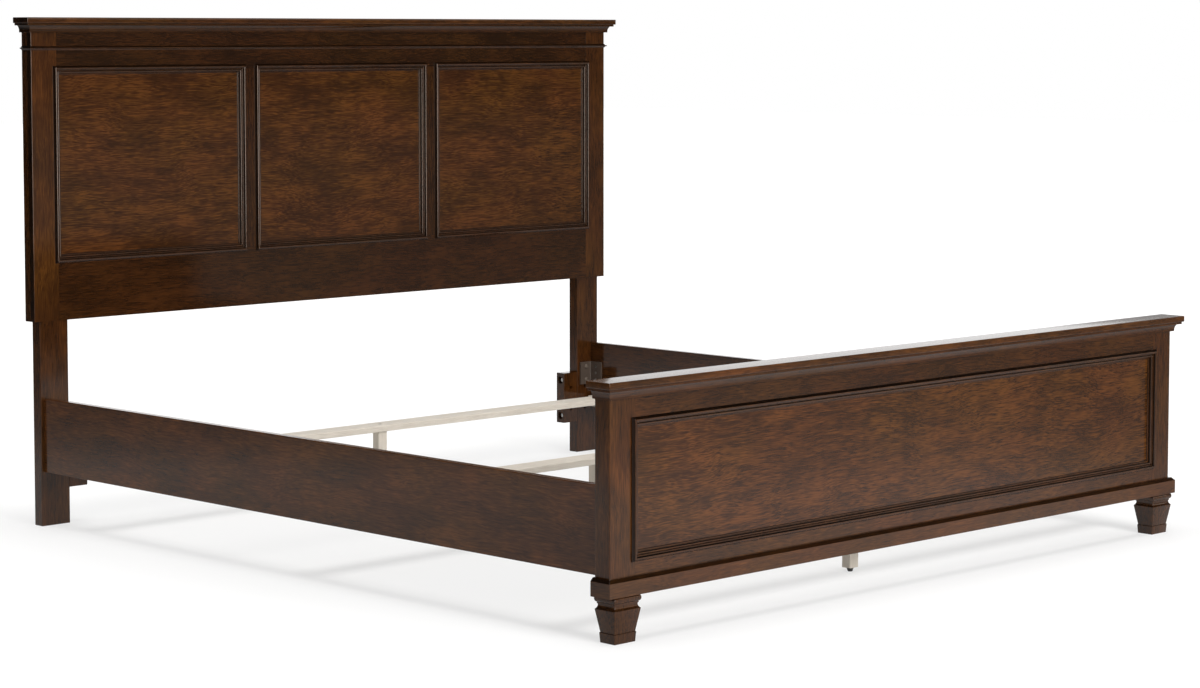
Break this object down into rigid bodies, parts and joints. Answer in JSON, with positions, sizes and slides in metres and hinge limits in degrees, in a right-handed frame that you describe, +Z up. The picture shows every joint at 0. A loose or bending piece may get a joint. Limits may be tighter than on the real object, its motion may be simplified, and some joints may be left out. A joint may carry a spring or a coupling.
{
  "type": "panel bed",
  "caption": "Panel bed: framed, moulded headboard and low footboard, side rails on steel angles, and cross slats carried by support legs with levelling glides.",
  "frame": {"origin": "on the floor, under the middle of the bed's outer box", "axes": "+Y from the footboard to the headboard, +Z up, +X to the right as seen from the foot of the bed"},
  "size_m": [2.128, 2.164, 1.327],
  "materials": {
    "dark_wood": "dark stained, satin lacquer",
    "panel_wood": "veneer with mottled figure, dark stained, satin lacquer",
    "pale_wood": "pale, matte",
    "angle_steel": "grey powder coat",
    "zinc_fastener": "zinc plated",
    "black_plastic": "black, matte"
  },
  "bodies": {
    "bed": {"headboard_cap": "dark_wood", "headboard_crown": "dark_wood", "headboard_bead": "dark_wood", "headboard_top_rail": "dark_wood", "headboard_bottom_rail": "dark_wood", "headboard_left_stile": "dark_wood", "headboard_right_stile": "dark_wood", "headboard_left_mullion": "dark_wood", "headboard_right_mullion": "dark_wood", "headboard_left_panel_moulding": "dark_wood", "headboard_middle_panel_moulding": "dark_wood", "headboard_right_panel_moulding": "dark_wood", "headboard_left_side_board": "dark_wood", "headboard_right_side_board": "dark_wood", "headboard_left_leg": "dark_wood", "headboard_right_leg": "dark_wood", "headboard_back_top_rail": "dark_wood", "headboard_back_bottom_rail": "dark_wood", "left_leg_block": "dark_wood", "right_leg_block": "dark_wood", "left_side_rail": "dark_wood", "right_side_rail": "dark_wood", "footboard_cap": "dark_wood", "footboard_crown": "dark_wood", "footboard_top_rail": "dark_wood", "footboard_bottom_rail": "dark_wood", "footboard_left_post": "dark_wood", "footboard_right_post": "dark_wood", "footboard_panel_moulding": "dark_wood", "footboard_base_moulding": "dark_wood", "footboard_left_foot": "dark_wood", "footboard_right_foot": "dark_wood", "headboard_left_panel": "panel_wood", "headboard_middle_panel": "panel_wood", "headboard_right_panel": "panel_wood", "footboard_panel": "panel_wood", "head_slat": "pale_wood", "middle_slat": "pale_wood", "foot_slat": "pale_wood", "head_support_leg": "pale_wood", "middle_support_leg": "pale_wood", "foot_support_leg": "pale_wood", "left_ledger": "pale_wood", "right_ledger": "pale_wood", "left_head_angle": "angle_steel", "right_head_angle": "angle_steel", "left_foot_angle": "angle_steel", "right_foot_angle": "angle_steel", "headboard_leg_screws": "zinc_fastener", "leg_block_bolts": "zinc_fastener", "foot_bolts": "zinc_fastener", "angle_screws": "zinc_fastener", "angle_bolts": "zinc_fastener", "slat_screws": "zinc_fastener", "support_bolts": "zinc_fastener", "glide_inserts": "zinc_fastener"},
    "head_glide": {"head_glide": "black_plastic"},
    "middle_glide": {"middle_glide": "black_plastic"},
    "foot_glide": {"foot_glide": "black_plastic"}
  },
  "joints": [
    {"name": "head_glide_height", "type": "slide", "parent": "bed", "child": "head_glide", "axis": [0, 0, 1], "range_m": [-0.015, 0]},
    {"name": "middle_glide_height", "type": "slide", "parent": "bed", "child": "middle_glide", "axis": [0, 0, 1], "range_m": [-0.015, 0]},
    {"name": "foot_glide_height", "type": "slide", "parent": "bed", "child": "foot_glide", "axis": [0, 0, 1], "range_m": [-0.015, 0]}
  ]
}
